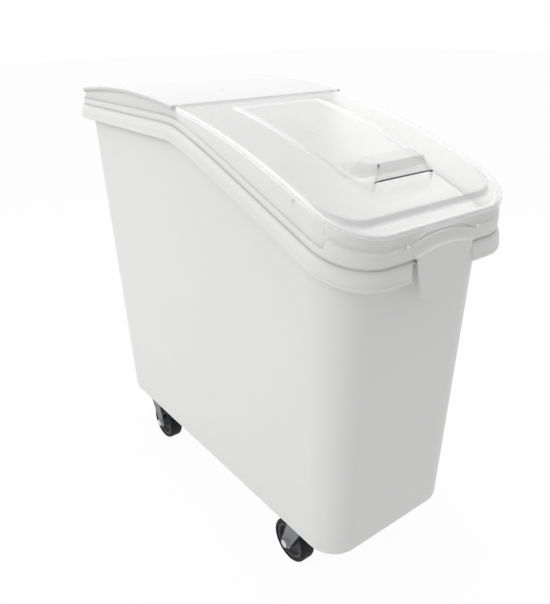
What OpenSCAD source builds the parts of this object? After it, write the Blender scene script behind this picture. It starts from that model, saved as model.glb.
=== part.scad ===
// Slant-top rice bin on four swivel casters, with a lift-off rear lid and a clear flip lid.
// +Z is up, the front with the pull tab faces -Y, and the origin lies on the floor at the middle of the bin.
// All lengths are in millimetres.

/* [Rim] */
// Length over the rolled bead, front to back
rim_l = 745; // [640:1:800]
// Width over the rolled bead
rim_w = 324; // [300:1:360]
// Corner radius of the bead at the front
rim_front_r = 73; // [60:1:85]
// Corner radius of the bead at the rear
rim_rear_r = 60; // [50:1:80]
// Height of the bead's lower edge above the floor at the rear
bead_rear_z = 662.5; // [655:0.5:670]
// Height of the bead's lower edge above the floor at the front
bead_front_z = 529.5; // [515:0.5:535]
// Distance from the rear of the bead to where the rim starts to slope down
rear_flat_l = 387; // [370:1:400]
// Height of the rolled bead
bead_h = 24; // [20:1:28]
// Wall of the bead, the rib and the collar
rim_wall = 4; // [3:0.5:5]
// Height of the rib on top of the bead
rib_h = 10; // [6:1:12]
// How far the rib stands in from the bead
rib_in = 3.5; // [2:0.5:5]
// How far the recessed collar stands in from the bead
collar_in = 10; // [9:0.5:12]
// Length of the front zone in which the collar stands proud, flush under the lid's skirt
proud_l = 50; // [35:1:60]

/* [Tub] */
// Distance from the side of the rim to the tub's bottom
tub_bottom_side_in = 32; // [28:1:40]
// Distance from the rim's front to the tub's bottom
tub_bottom_front_in = 47; // [35:1:60]
// Distance from the rim's rear to the tub's bottom
tub_bottom_rear_in = 40; // [30:1:55]
// Corner radius of the tub at its bottom
tub_bottom_r = 47; // [35:1:60]
// Distance from the side of the rim to the wall at the top of the tub
tub_top_side_in = 13.5; // [12:0.5:16]
// Distance from the rim's front to the wall at the top of the tub
tub_top_front_in = 24; // [20:1:30]
// Distance from the rim's rear to the wall at the top of the tub
tub_top_rear_in = 15.5; // [14:0.5:20]
// Corner radius of the tub at its top
tub_top_r = 66; // [55:1:75]
// Wall and floor of the tub
tub_wall = 4; // [3:0.5:6]
// Rounding of the tub's bottom edge
tub_edge_r = 8; // [4:1:12]

/* [Pull tab] */
// Width of the pull tab at its top
tab_w = 100; // [80:1:110]
// Width of the pull tab at its bottom
tab_bottom_w = 74; // [60:1:80]
// Height of the pull tab at its sides
tab_h = 58; // [45:1:65]
// How far the sides of the tab reach above the bead
tab_rise = 10.5; // [8:0.5:13]
// Rise of the arched top of the tab
tab_arch = 8; // [4:1:12]
// Thickness of the tab and its shelf
tab_t = 4; // [3:0.5:6]
// How far the tab stands proud of the bead
tab_proud = 1; // [0:0.5:4]
// Side room between the tab and the ends of the bead
tab_room = 12; // [8:1:16]

/* [Lids] */
// Height of the lip's lower edge above the bead's lower edge, at the top of the arch
lid_rear_rise = 55.5; // [50:0.5:60]
// Height of the lip's lower edge above the bead's lower edge, at the front
lid_front_rise = 64.2; // [62:0.1:68]
// Distance from the rim's rear to the top of the arch
arch_rear_l = 205; // [190:1:220]
// Height of the lid's lip
lip_h = 4.5; // [4:0.5:8]
// How far the lip stands in from the bead
lip_in = 4; // [3:0.5:5]
// Wall of both lids
lid_wall = 3; // [2.5:0.5:3.5]
// Distance from the rim's rear to the hinge
hinge_rear_l = 379; // [360:1:390]
// Gap between the two lids at the hinge, to each side of the hinge line
seam_gap = 0.8; // [0.6:0.1:1.5]
// Clearance between a lid and the collar that it rests on
seat_gap = 0.3; // [0.2:0.1:0.5]
// Depth of the clear lid's front skirt below its lip
skirt_h = 17; // [14:1:20]
// Half width of the arched cut-out in the front skirt
skirt_cut_w = 61; // [55:1:66]
// Depth of the finger recess in front of the hood
recess_depth = 5; // [4:0.5:6]
// Half width of the finger recess
recess_half_w = 80; // [74:1:86]
// Distance from the rim's front to the finger recess
recess_front_in = 34; // [30:1:40]

/* [Hood] */
// Width of the hood where it meets the lid's skin
hood_w = 162; // [150:1:170]
// Width of the hood's front face at its lower edge
hood_face_w = 106; // [90:1:112]
// Width of the hood's front face at its upper edge
hood_top_w = 78; // [60:1:84]
// Rise of the hood's front face above the lid's skin
hood_rise = 27; // [20:1:29]
// Distance from the rim's front to the hood's front face
hood_front_in = 73; // [65:1:85]
// Height of the finger gap under the hood's lip
hood_gap_h = 12; // [10:0.5:13]
// Depth of the finger gap
hood_gap_l = 30; // [22:1:40]
// Distance from the hinge to the back of the hood
hood_back_in = 34; // [28:1:45]

/* [Hinge] */
// Radius of the hinge ears
ear_r = 4.6; // [4:0.1:5]
// Width of each hinge ear
ear_w = 6.4; // [5:0.1:7]
// Radius of the hinge pin
hinge_pin_r = 2; // [1.5:0.1:2.5]
// Running clearance of the clear lid on its pins
hinge_play = 0.06; // [0.03:0.01:0.1]

/* [Casters] */
// Radius of the wheel over its tyre
wheel_r = 37.5; // [34:0.5:38.5]
// Width of the tyre
tyre_w = 26; // [22:1:28]
// Thickness of the tyre
tyre_t = 7.5; // [5:0.5:9]
// Height of the tub's bottom above the floor
caster_h = 92; // [90:0.5:100]
// Offset of the axle from the swivel pin
trail = 24; // [18:1:28]
// Distance of each swivel pin from the side of the tub's bottom
caster_side_in = 30; // [29:1:40]
// Distance of the front swivel pins from the front of the tub's bottom
caster_front_in = 95; // [70:1:120]
// Distance of the rear swivel pins from the rear of the tub's bottom
caster_rear_in = 85; // [70:1:120]
// Width of the mounting plate
plate_w = 42; // [40:1:43]
// Length of the mounting plate
plate_l = 68; // [60:1:76]
// Thickness of the mounting plate
plate_t = 2.5; // [2:0.5:3]
// Thickness of the pressed fork
fork_t = 2.5; // [2:0.5:3]
// Clearance between the tyre and each fork leg
fork_room = 2; // [1.5:0.5:3]
// Radius of the axle bolt
axle_r = 4; // [3:0.5:5]
// Radius of the swivel pin
king_r = 5; // [4:0.5:6]
// Radius of the bearing balls
ball_r = 2.5; // [2:0.25:2.5]
// Radius of the ring that the balls run on
race_r = 13; // [12.5:0.5:14]
// Running clearance on the swivel pin and in the wheel's bore
run_play = 0.06; // [0.03:0.01:0.1]
// Radius of the mounting screws
screw_r = 2.4; // [2:0.1:2.6]

/* [Hidden] */

// Small overlap that lets cuts pass a face and unions share volume
eps = 0.5;
// Height that clears the whole bin
high = 1200;

// Rim places along Y: the tab's face and the rear of the bead are equally far from the origin
rim_front_y = -rim_l / 2 + tab_proud / 2;
rim_rear_y = rim_l / 2 + tab_proud / 2;
knee_y = rim_rear_y - rear_flat_l;
slope_start_y = rim_front_y + 3.5;
slope = (bead_rear_z - bead_front_z) / (knee_y - slope_start_y);
knee_soft = 40;
foot_soft = 29;
proud_y = rim_front_y + proud_l;

// Centre of the arched lids' side profile
arch_y = rim_rear_y - arch_rear_l;
arch_z = bead_rear_z + lid_rear_rise;
arch_front_l = arch_y - rim_front_y;
arch_drop = arch_z - bead_front_z - lid_front_rise;
arch_r = (arch_front_l * arch_front_l + arch_drop * arch_drop) / (2 * arch_drop);
arch_cz = arch_z - arch_r;
hinge_y = rim_rear_y - hinge_rear_l;
lip_top_r = arch_r + lip_h;
lid_under_r = lip_top_r - lid_wall;
collar_top_r = lid_under_r - seat_gap;
hinge_z = arch_height(lip_top_r, hinge_y) + 0.5;
lid_skirt_in = lip_in + 1;
recess_top_r = lip_top_r - recess_depth;

// Tub places
tub_bottom_half_w = rim_w / 2 - tub_bottom_side_in;
caster_x = tub_bottom_half_w - caster_side_in;
tub_bottom_front_y = rim_front_y + tub_bottom_front_in;
tub_bottom_rear_y = rim_rear_y - tub_bottom_rear_in;
tub_top_z = bead_rear_z + bead_h;
bead_front_top_z = bead_front_z + bead_h;

// Hinge places along X, on one side
ear_outer_x = rim_w / 2 - lip_in;
ear_split = 0.3;
ear_mid_x = ear_outer_x - ear_w - ear_split / 2;
ear_inner_x = ear_outer_x - 2 * ear_w - ear_split;
pin_head_t = 1.5;

// Hood places
hood_y = rim_front_y + hood_front_in;
hood_shoulder_y = hood_y + 16;
hood_back_y = hinge_y - hood_back_in;
hood_face_z = arch_height(lip_top_r, hood_y);
hood_floor_z = arch_height(recess_top_r, hood_y);
gap_back_y = hood_y + hood_gap_l;

// Caster heights
plate_z = caster_h - plate_t;
race_gap = 0.25;
fork_top_z = plate_z - 2 * ball_r - 2 * race_gap;
leg_in_x = tyre_w / 2 + fork_room;
leg_out_x = leg_in_x + fork_t;
fork_crown_r = race_r + ball_r + 4;
axle_eye_r = 11;
king_head_t = 3.6;
core_r = wheel_r - tyre_t - 0.05;
sleeve_r = axle_r + 2;
screw_dx = plate_w / 2 - 7;
screw_dy = plate_l / 2 - 7;
screw_l = 9;
boss_r = screw_r + 3.4;
head_t = 2.4;

// Height of a circle of the lids' arch above the floor at a place along Y
function arch_height(r, y) = arch_cz + sqrt(r * r - pow(y - arch_y, 2));

// Smooth ramp that is 0 well before t = 0 and t well after it
function ramp(t, soft) = (t + sqrt(t * t + soft * soft)) / 2;

// Height of the bead's lower edge: level at the front, sloped, and level behind the knee
function bead_z(y) = bead_front_z + slope * (ramp(y - slope_start_y, foot_soft) - ramp(y - knee_y, knee_soft));

function rim_stations() = [for (k = [0 : 48]) rim_front_y - 8 + k * (rim_l + 16) / 48];

// Rounded outline of the rim, drawn a distance inside the bead's face
module outline(inset) {
    rf = rim_front_r - inset;
    rr = rim_rear_r - inset;
    hw = rim_w / 2 - inset;
    y0 = rim_front_y + inset;
    y1 = rim_rear_y - inset;
    polygon([
        [-hw + rf, y0], [hw - rf, y0], [hw, y0 + rf], [hw, y1 - rr],
        [hw - rr, y1], [-hw + rr, y1], [-hw, y1 - rr], [-hw, y0 + rf]
    ]);
    for (side = [-1, 1]) {
        translate([side * (hw - rf), y0 + rf]) circle(r = rf, $fn = 96);
        translate([side * (hw - rr), y1 - rr]) circle(r = rr, $fn = 96);
    }
}

// Upright ring between two insets of the rim's outline
module ring(outer_in, inner_in) {
    linear_extrude(high) difference() {
        outline(outer_in);
        outline(inner_in);
    }
}

// Slab across the whole width that follows the bead's line between two heights above it
module rim_slab(low, up) {
    ys = rim_stations();
    back = [for (k = [len(ys) - 1 : -1 : 0]) ys[k]];
    points = concat([for (y = ys) [y, bead_z(y) + low]], [for (y = back) [y, bead_z(y) + up]]);
    rotate([90, 0, 90]) translate([0, 0, -rim_w]) linear_extrude(2 * rim_w) polygon(points);
}

// Everything below a height above the bead's line
module below_rim(up) {
    ys = rim_stations();
    points = concat([[ys[0], 0]], [for (y = ys) [y, bead_z(y) + up]], [[ys[len(ys) - 1], 0]]);
    rotate([90, 0, 90]) translate([0, 0, -rim_w]) linear_extrude(2 * rim_w) polygon(points);
}

// Ring of the rim that follows the bead's line
module rim_band(outer_in, inner_in, low, up) {
    intersection() {
        rim_slab(low, up);
        ring(outer_in, inner_in);
    }
}

// Big round bar across the bin whose top follows the lids' arch
module arch_bar(r) {
    translate([-rim_w, arch_y, arch_cz]) rotate([0, 90, 0]) cylinder(r = r, h = 2 * rim_w, $fn = 360);
}

// Block that spans the width between two places along Y
module y_zone(y0, y1) {
    translate([-rim_w, y0, 0]) cube([2 * rim_w, y1 - y0, high]);
}

// Thin rounded slab of the tapered tub, at its bottom or its top
module tub_slab(z, inset, part) {
    hw = part * (rim_w / 2 - tub_top_side_in) + (1 - part) * tub_bottom_half_w - inset;
    y0 = part * (rim_front_y + tub_top_front_in) + (1 - part) * tub_bottom_front_y + inset;
    y1 = part * (rim_rear_y - tub_top_rear_in) + (1 - part) * tub_bottom_rear_y - inset;
    r = part * tub_top_r + (1 - part) * tub_bottom_r - inset;
    for (side = [-1, 1]) for (y = [y0 + r, y1 - r]) {
        translate([side * (hw - r), y, z]) cylinder(r = r, h = 0.02, $fn = 64);
    }
}

// Solid block of the tub's outer or inner taper with a rounded bottom edge
module tub_block(inset) {
    hull() {
        tub_slab(caster_h + inset, inset + tub_edge_r, 0);
        tub_slab(caster_h + inset + tub_edge_r * 0.3, inset + tub_edge_r * 0.29, 0);
        tub_slab(caster_h + inset + tub_edge_r, inset, 0);
        tub_slab(tub_top_z, inset, 1);
    }
}

// Outline of the pull tab seen from the front, with its arched top
module tab_face() {
    top_z = bead_front_top_z + tab_rise;
    low_z = top_z - tab_h;
    bend = 12;
    steps = 12;
    arch = [for (k = [0 : steps]) let (u = 1 - 2 * k / steps) [u * tab_w / 2, top_z + tab_arch * (1 - u * u)]];
    polygon(concat(arch, [
        [-tab_bottom_w / 2 - 2, low_z + bend], [-tab_bottom_w / 2 + 2, low_z + 4], [-tab_bottom_w / 2 + bend, low_z],
        [tab_bottom_w / 2 - bend, low_z], [tab_bottom_w / 2 - 2, low_z + 4], [tab_bottom_w / 2 + 2, low_z + bend]
    ]));
}

// Pull tab that hangs in front of the pocket, and the arched shelf that carries it
module pull_tab() {
    face_y = rim_front_y - tab_proud;
    shelf_l = tab_proud + rib_in + 1.5 + rim_wall / 2;
    translate([0, face_y + tab_t, 0]) rotate([90, 0, 0]) linear_extrude(tab_t) tab_face();
    translate([0, face_y + shelf_l, 0]) rotate([90, 0, 0]) linear_extrude(shelf_l) difference() {
        tab_face();
        translate([0, -tab_t]) tab_face();
        translate([-tab_w, bead_front_top_z - tab_h]) square([2 * tab_w, tab_h]);
    }
}

// Places of the four mounting screws around a swivel pin
module at_screws() {
    for (dx = [-screw_dx, screw_dx]) for (dy = [-screw_dy, screw_dy]) translate([dx, dy, 0]) children();
}

// Place of one caster: which side, which end, and which way its wheel trails at rest
module at_caster(side, end) {
    y = end < 0 ? tub_bottom_front_y + caster_front_in : tub_bottom_rear_y - caster_rear_in;
    translate([side * caster_x, y, 0]) scale([1, -end, 1]) children();
}

module at_all_casters() {
    for (side = [-1, 1]) for (end = [-1, 1]) at_caster(side, end) children();
}

// Hinge line of the flip lid on one side, as a bar between two distances from the middle plane
module hinge_bar(side, x0, x1, r) {
    translate([side > 0 ? x0 : -x1, hinge_y, hinge_z]) rotate([0, 90, 0]) cylinder(r = r, h = x1 - x0, $fn = 48);
}

module snap_nub(x, y, z, nub_r) {
    translate([x, y, z]) sphere(r = nub_r, $fn = 24);
}

// Tapered tub with its rolled rim, collar, pull tab and caster bosses, moulded in one piece
module tub() {
    proud_in = rib_in + 1.5;
    nub_z = arch_height(arch_r - skirt_h - 3.5, rim_front_y + proud_in);
    side_nub_y = rim_front_y + 105;
    color("white") difference() {
        union() {
            // Tapered wall, cut off along the rim
            intersection() {
                tub_block(0);
                below_rim(bead_h);
            }
            // Flange and rolled bead, open below
            rim_band(1, tub_top_front_in + 12, bead_h - rim_wall, bead_h);
            rim_band(0, rim_wall, 3, bead_h - 3);
            rim_band(1, rim_wall, 0, bead_h);
            // Rib on the sides and the rear
            intersection() {
                union() {
                    rim_band(rib_in, rib_in + rim_wall, bead_h - eps, bead_h + rib_h);
                    rim_band(rib_in, collar_in + rim_wall, bead_h + rib_h - rim_wall, bead_h + rib_h);
                }
                y_zone(proud_y, rim_rear_y);
            }
            // Proud collar round the front, flush under the flip lid's skirt
            intersection() {
                difference() {
                    intersection() {
                        ring(proud_in, collar_in + rim_wall);
                        arch_bar(arch_r - skirt_h - 1);
                    }
                    below_rim(bead_h - eps);
                    intersection() {
                        ring(proud_in + rim_wall, collar_in + rim_wall + 1);
                        arch_bar(arch_r - skirt_h - 1 - rim_wall);
                    }
                }
                y_zone(rim_front_y, proud_y + rim_wall);
            }
            // Recessed collar that carries both lids
            difference() {
                intersection() {
                    ring(collar_in, collar_in + rim_wall);
                    arch_bar(collar_top_r);
                }
                below_rim(bead_h - rim_wall);
            }
            pull_tab();
            // Snap nubs that hold the flip lid's skirt
            for (side = [-1, 1]) {
                snap_nub(side * (skirt_cut_w + 3), rim_front_y + proud_in + 0.5, nub_z, 2.6);
                snap_nub(side * (rim_w / 2 - collar_in - 0.3), side_nub_y, arch_height(arch_r - 9, side_nub_y), 2.4);
            }
            // Blind bosses for the caster screws
            at_all_casters() at_screws() {
                translate([0, 0, caster_h + tub_wall / 2]) cylinder(r = boss_r, h = screw_l + 1.5, $fn = 32);
            }
        }
        // Inside of the tub below the flange
        intersection() {
            difference() {
                tub_block(tub_wall);
                at_all_casters() at_screws() {
                    cylinder(r = boss_r, h = caster_h + tub_wall / 2 + screw_l + 1.5, $fn = 32);
                }
            }
            below_rim(bead_h + eps);
        }
        // Pocket in the bead behind the pull tab
        translate([-tab_w / 2 - tab_room, rim_front_y - eps, bead_front_z - 20]) {
            difference() {
                cube([tab_w + 2 * tab_room, rib_in + 1.5 + eps, bead_h + 20 - rim_wall / 2]);
                translate([tab_room - eps, 0, -tab_h]) cube([tab_w + 2 * eps, tab_t - tab_proud + eps, high]);
            }
        }
        // Blind holes for the caster screws
        at_all_casters() at_screws() {
            translate([0, 0, caster_h - 1]) cylinder(r = screw_r + 0.05, h = screw_l + 1, $fn = 32);
        }
        // Room for the hinge ears in the top of the collar
        for (side = [-1, 1]) hinge_bar(side, ear_inner_x - eps, ear_outer_x + 4, ear_r + 0.6);
    }
}

// Arched lid blank between two places along Y: top skin and lip
module lid_blank(y0, y1) {
    difference() {
        intersection() {
            linear_extrude(high) outline(lip_in);
            y_zone(y0, y1);
            arch_bar(lip_top_r);
        }
        arch_bar(arch_r);
        intersection() {
            linear_extrude(high) outline(lip_in + lid_wall);
            arch_bar(lid_under_r);
        }
    }
}

// White rear lid with its lip, front rib, tongue and outer hinge ears
module rear_lid() {
    y0 = hinge_y + seam_gap;
    tongue_in = collar_in + rim_wall + 6;
    tongue_top_r = lid_under_r - 0.5;
    color("white") difference() {
        union() {
            lid_blank(y0, rim_rear_y);
            // Tongue under the flip lid's rear edge
            intersection() {
                linear_extrude(high) outline(tongue_in);
                difference() {
                    arch_bar(tongue_top_r);
                    arch_bar(tongue_top_r - lid_wall);
                }
                y_zone(hinge_y - 12, y0 + lid_wall);
            }
            intersection() {
                linear_extrude(high) outline(tongue_in);
                difference() {
                    arch_bar(lip_top_r - lid_wall / 2);
                    arch_bar(tongue_top_r - lid_wall);
                }
                y_zone(y0, y0 + lid_wall);
            }
            for (side = [-1, 1]) hinge_bar(side, ear_outer_x - ear_w, ear_outer_x, ear_r);
        }
        for (side = [-1, 1]) {
            hinge_bar(side, ear_inner_x - ear_split, ear_outer_x - ear_w - 0.001, ear_r + eps);
            hinge_bar(side, ear_mid_x - 1, ear_outer_x + 1, hinge_pin_r + 0.02);
        }
    }
}

// Hood drawn in from its outer skin by t, down to below the lid's skin
module hood_block(t) {
    fy = hood_y + t;
    foot = recess_depth + lid_wall + 1 + t;
    mid_y = (hood_y + hood_back_y) / 2;
    mid_z = arch_height(lip_top_r, mid_y) - t;
    shoulder_z = arch_height(lip_top_r, hood_shoulder_y) - t;
    back_z = arch_height(lip_top_r, hood_back_y) - t;
    hull() {
        for (side = [-1, 1]) {
            // Upper and lower edge of the front face
            translate([side * (hood_top_w / 2 - t), fy + 6, hood_face_z + hood_rise - t]) cube(0.02, center = true);
            translate([side * (hood_face_w / 2 - t), fy, hood_floor_z + hood_gap_h]) cube(0.02, center = true);
            translate([side * (hood_face_w / 2 - t), fy, hood_face_z - foot]) cube(0.02, center = true);
            // Shoulders, where the face turns into the sides
            translate([side * (hood_w / 2 - t), hood_shoulder_y + t, shoulder_z + 8.5]) cube(0.02, center = true);
            translate([side * (hood_w / 2 - t), hood_shoulder_y + t, shoulder_z - foot]) cube(0.02, center = true);
            // Middle of the crown and of the side's upper edge
            translate([side * (hood_top_w / 2 + 12 - t), mid_y, mid_z + hood_rise * 0.45]) cube(0.02, center = true);
            translate([side * (hood_w / 2 - t), mid_y, mid_z + 4]) cube(0.02, center = true);
            // Back, just under the lid's skin
            translate([side * (hood_w / 2 - t), hood_back_y - t, back_z - 0.2]) cube(0.02, center = true);
            translate([side * (hood_w / 2 - t), hood_back_y - t, back_z - foot]) cube(0.02, center = true);
        }
    }
}

// Plan of the finger recess, drawn in by t
module recess_plan(t) {
    r = 14 - t;
    hw = recess_half_w - t;
    y0 = rim_front_y + recess_front_in + t;
    y1 = gap_back_y - t;
    for (side = [-1, 1]) for (y = [y0 + r, y1 - r]) {
        translate([side * (hw - r), y]) circle(r = r, $fn = 48);
    }
    translate([-hw, y0 + r]) square([2 * hw, y1 - y0 - 2 * r]);
    translate([-hw + r, y0]) square([2 * (hw - r), y1 - y0]);
}

// Everything over the floor of the finger recess
module over_recess() {
    difference() {
        arch_bar(lip_top_r + 60);
        arch_bar(recess_top_r);
    }
}

// Plan prism of the arched cut-out in the front skirt
module skirt_cut() {
    side_z = arch_height(arch_r - skirt_h, rim_front_y + lid_skirt_in);
    top_z = arch_height(arch_r - 4, rim_front_y + lid_skirt_in);
    w = skirt_cut_w;
    translate([0, rim_front_y + 30, 0]) rotate([90, 0, 0]) linear_extrude(40) polygon([
        [-w, side_z - 40], [-w, side_z], [-w * 0.82, side_z + (top_z - side_z) * 0.65], [-w * 0.45, top_z],
        [w * 0.45, top_z], [w * 0.82, side_z + (top_z - side_z) * 0.65], [w, side_z], [w, side_z - 40]
    ]);
}

// Clear flip lid with its hood, finger recess, finger gap, front skirt and inner hinge ears
module front_lid() {
    y1 = hinge_y - seam_gap;
    color([0.85, 0.9, 0.92, 0.35]) difference() {
        union() {
            difference() {
                union() {
                    lid_blank(rim_front_y, y1);
                    // Floor and walls of the finger recess
                    intersection() {
                        linear_extrude(high) recess_plan(-lid_wall);
                        difference() {
                            arch_bar(lip_top_r);
                            arch_bar(recess_top_r - lid_wall);
                        }
                    }
                    difference() {
                        hood_block(0);
                        arch_bar(lip_top_r - lid_wall);
                    }
                }
                // Space over the recess in front of the hood
                difference() {
                    intersection() {
                        linear_extrude(high) recess_plan(0);
                        over_recess();
                    }
                    hood_block(0);
                }
                // Hollow of the hood, open below behind the finger gap
                difference() {
                    hood_block(lid_wall);
                    y_zone(rim_front_y, gap_back_y + lid_wall);
                }
                // Hollow above the finger gap
                intersection() {
                    hood_block(lid_wall);
                    linear_extrude(high) recess_plan(0);
                    over_recess();
                }
                // Mouth of the finger gap in the hood's front face
                intersection() {
                    translate([-hood_face_w / 2 + lid_wall, hood_y - 2, hood_floor_z - 20]) {
                        cube([hood_face_w - 2 * lid_wall, lid_wall * 3 + 2, 20 + hood_gap_h]);
                    }
                    over_recess();
                }
            }
            // Front skirt, in one with the lip
            difference() {
                intersection() {
                    ring(lid_skirt_in, lid_skirt_in + lid_wall);
                    arch_bar(lip_top_r - lid_wall / 2);
                    y_zone(rim_front_y, proud_y);
                }
                arch_bar(arch_r - skirt_h);
                skirt_cut();
            }
            for (side = [-1, 1]) hinge_bar(side, ear_inner_x, ear_inner_x + ear_w, ear_r);
        }
        for (side = [-1, 1]) {
            hinge_bar(side, ear_mid_x + 0.001, ear_outer_x + 4, ear_r + eps);
            hinge_bar(side, ear_inner_x - 1, ear_outer_x + 1, hinge_pin_r + hinge_play);
        }
    }
}

// Two short pins with a small head on the outside
module hinge_pins() {
    color("gainsboro") for (side = [-1, 1]) {
        hinge_bar(side, ear_inner_x + 0.6, ear_outer_x + eps, hinge_pin_r);
        hinge_bar(side, ear_outer_x, ear_outer_x + pin_head_t, hinge_pin_r + 1.2);
    }
}

// Mounting plate under the tub's bottom
module caster_plate() {
    corner = 6;
    color("silver") translate([0, 0, plate_z]) linear_extrude(plate_t) difference() {
        union() {
            square([plate_w - 2 * corner, plate_l], center = true);
            square([plate_w, plate_l - 2 * corner], center = true);
            for (sx = [-1, 1]) for (sy = [-1, 1]) {
                translate([sx * (plate_w / 2 - corner), sy * (plate_l / 2 - corner)]) circle(r = corner, $fn = 32);
            }
        }
        circle(r = king_r, $fn = 48);
        for (dx = [-screw_dx, screw_dx]) for (dy = [-screw_dy, screw_dy]) {
            translate([dx, dy]) circle(r = screw_r + 0.2, $fn = 32);
        }
    }
}

// Four pan-head screws from below
module caster_screws() {
    color("lightgray") at_screws() {
        translate([0, 0, plate_z - head_t]) cylinder(r = screw_r * 1.75, h = head_t, $fn = 32);
        translate([0, 0, plate_z - head_t / 2]) {
            cylinder(r = screw_r, h = plate_t + head_t / 2 + screw_l - 0.6, $fn = 32);
        }
    }
}

// Swivel pin, fixed in the plate, with a flat head under the fork
module caster_king_pin() {
    head_z = fork_top_z - fork_t - 0.3 - king_head_t;
    color("silver") {
        translate([0, 0, head_z]) cylinder(r = king_r + 3, h = king_head_t, $fn = 48);
        translate([0, 0, head_z + king_head_t / 2]) {
            cylinder(r = king_r - 0.02, h = caster_h - head_z - king_head_t / 2 - 0.1, $fn = 48);
        }
    }
}

// Pressed steel fork with a rimmed crown and two legs
module caster_fork() {
    leg_front = -13;
    leg_back = 20;
    color("gray") difference() {
        union() {
            translate([0, 0, fork_top_z - fork_t]) cylinder(r = fork_crown_r, h = fork_t, $fn = 64);
            translate([-leg_out_x, leg_front, fork_top_z - fork_t]) {
                cube([2 * leg_out_x, leg_back - leg_front, fork_t]);
            }
            // Upturned rim that keeps the balls in
            translate([0, 0, fork_top_z - fork_t / 2]) difference() {
                cylinder(r = fork_crown_r, h = fork_t / 2 + ball_r * 1.4, $fn = 64);
                translate([0, 0, -eps]) cylinder(r = race_r + ball_r + 0.6, h = 20, $fn = 64);
            }
            for (side = [-1, 1]) {
                translate([side > 0 ? leg_in_x : -leg_out_x, 0, 0]) rotate([90, 0, 90]) linear_extrude(fork_t) {
                    polygon([
                        [leg_front, fork_top_z], [leg_back, fork_top_z],
                        [trail + axle_eye_r, wheel_r], [trail - axle_eye_r, wheel_r]
                    ]);
                    translate([trail, wheel_r]) circle(r = axle_eye_r, $fn = 48);
                }
            }
        }
        translate([0, 0, fork_top_z - fork_t - 1]) cylinder(r = king_r + run_play, h = fork_t + 2, $fn = 48);
        translate([-leg_out_x - 1, trail, wheel_r]) rotate([0, 90, 0]) {
            cylinder(r = axle_r + 0.1, h = 2 * leg_out_x + 2, $fn = 48);
        }
    }
}

// Ring of bearing balls between the plate and the fork
module caster_balls() {
    count = floor(2 * PI * race_r / (2 * ball_r + 1.2));
    color("silver") for (k = [0 : count - 1]) {
        rotate([0, 0, k * 360 / count]) translate([race_r, 0, fork_top_z + race_gap + ball_r]) {
            sphere(r = ball_r, $fn = 32);
        }
    }
}

// Axle bolt through both legs, with its hexagon head
module caster_axle_bolt() {
    color("lightgray") translate([0, trail, wheel_r]) rotate([0, 90, 0]) {
        translate([0, 0, -leg_out_x - 5]) cylinder(r = axle_r * 1.85, h = 5, $fn = 6);
        translate([0, 0, -leg_out_x - 2]) cylinder(r = axle_r, h = 2 * leg_out_x + 2 + 8, $fn = 48);
    }
}

module caster_axle_nut() {
    color("lightgray") translate([leg_out_x, trail, wheel_r]) rotate([0, 90, 0]) difference() {
        cylinder(r = axle_r * 1.85, h = 6, $fn = 6);
        translate([0, 0, -1]) cylinder(r = axle_r + 0.05, h = 8, $fn = 48);
    }
}

// Sleeve that the wheel turns on, clamped between the legs
module caster_sleeve() {
    half = leg_in_x - 0.1;
    color("darkgray") translate([-half, trail, wheel_r]) rotate([0, 90, 0]) difference() {
        cylinder(r = sleeve_r, h = 2 * half, $fn = 48);
        translate([0, 0, -1]) cylinder(r = axle_r + 0.05, h = 2 * half + 2, $fn = 48);
    }
}

// Grey wheel core with hub, web and rim
module caster_wheel_core() {
    bore = sleeve_r + run_play;
    hub = sleeve_r + 5;
    half = tyre_w / 2;
    color("dimgray") translate([0, trail, wheel_r]) rotate([0, 90, 0]) rotate_extrude($fn = 96) polygon([
        [bore, -half], [hub, -half], [hub, -3.5], [core_r - 4.5, -3.5], [core_r - 3.5, -half + 2], [core_r, -half + 2],
        [core_r, half - 2], [core_r - 3.5, half - 2], [core_r - 4.5, 3.5], [hub, 3.5], [hub, half], [bore, half]
    ]);
}

// Rubber tyre with rounded shoulders
module caster_tyre() {
    inner = wheel_r - tyre_t;
    half = tyre_w / 2;
    bend = 5;
    steps = 5;
    arc = [for (k = [0 : steps]) let (a = 90 * k / steps) [wheel_r - bend + bend * sin(a), half - bend + bend * cos(a)]];
    color([0.12, 0.12, 0.12]) translate([0, trail, wheel_r]) rotate([0, 90, 0]) rotate_extrude($fn = 96) {
        polygon(concat(
            [[inner, -half + 1.5], [inner, half - 1.5], [inner + 1, half]], arc,
            [for (k = [steps : -1 : 0]) [arc[k][0], -arc[k][1]]], [[inner + 1, -half]]
        ));
    }
}

tub();
rear_lid();
front_lid();
hinge_pins();

at_caster(-1, -1) caster_plate();  // plate_fl
at_caster(-1, -1) caster_screws();  // screws_fl
at_caster(-1, -1) caster_king_pin();  // king_pin_fl
at_caster(-1, -1) caster_fork();  // fork_fl
at_caster(-1, -1) caster_balls();  // balls_fl
at_caster(-1, -1) caster_axle_bolt();  // axle_bolt_fl
at_caster(-1, -1) caster_axle_nut();  // axle_nut_fl
at_caster(-1, -1) caster_sleeve();  // sleeve_fl
at_caster(-1, -1) caster_wheel_core();  // wheel_core_fl
at_caster(-1, -1) caster_tyre();  // tyre_fl

at_caster(1, -1) caster_plate();  // plate_fr
at_caster(1, -1) caster_screws();  // screws_fr
at_caster(1, -1) caster_king_pin();  // king_pin_fr
at_caster(1, -1) caster_fork();  // fork_fr
at_caster(1, -1) caster_balls();  // balls_fr
at_caster(1, -1) caster_axle_bolt();  // axle_bolt_fr
at_caster(1, -1) caster_axle_nut();  // axle_nut_fr
at_caster(1, -1) caster_sleeve();  // sleeve_fr
at_caster(1, -1) caster_wheel_core();  // wheel_core_fr
at_caster(1, -1) caster_tyre();  // tyre_fr

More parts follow.
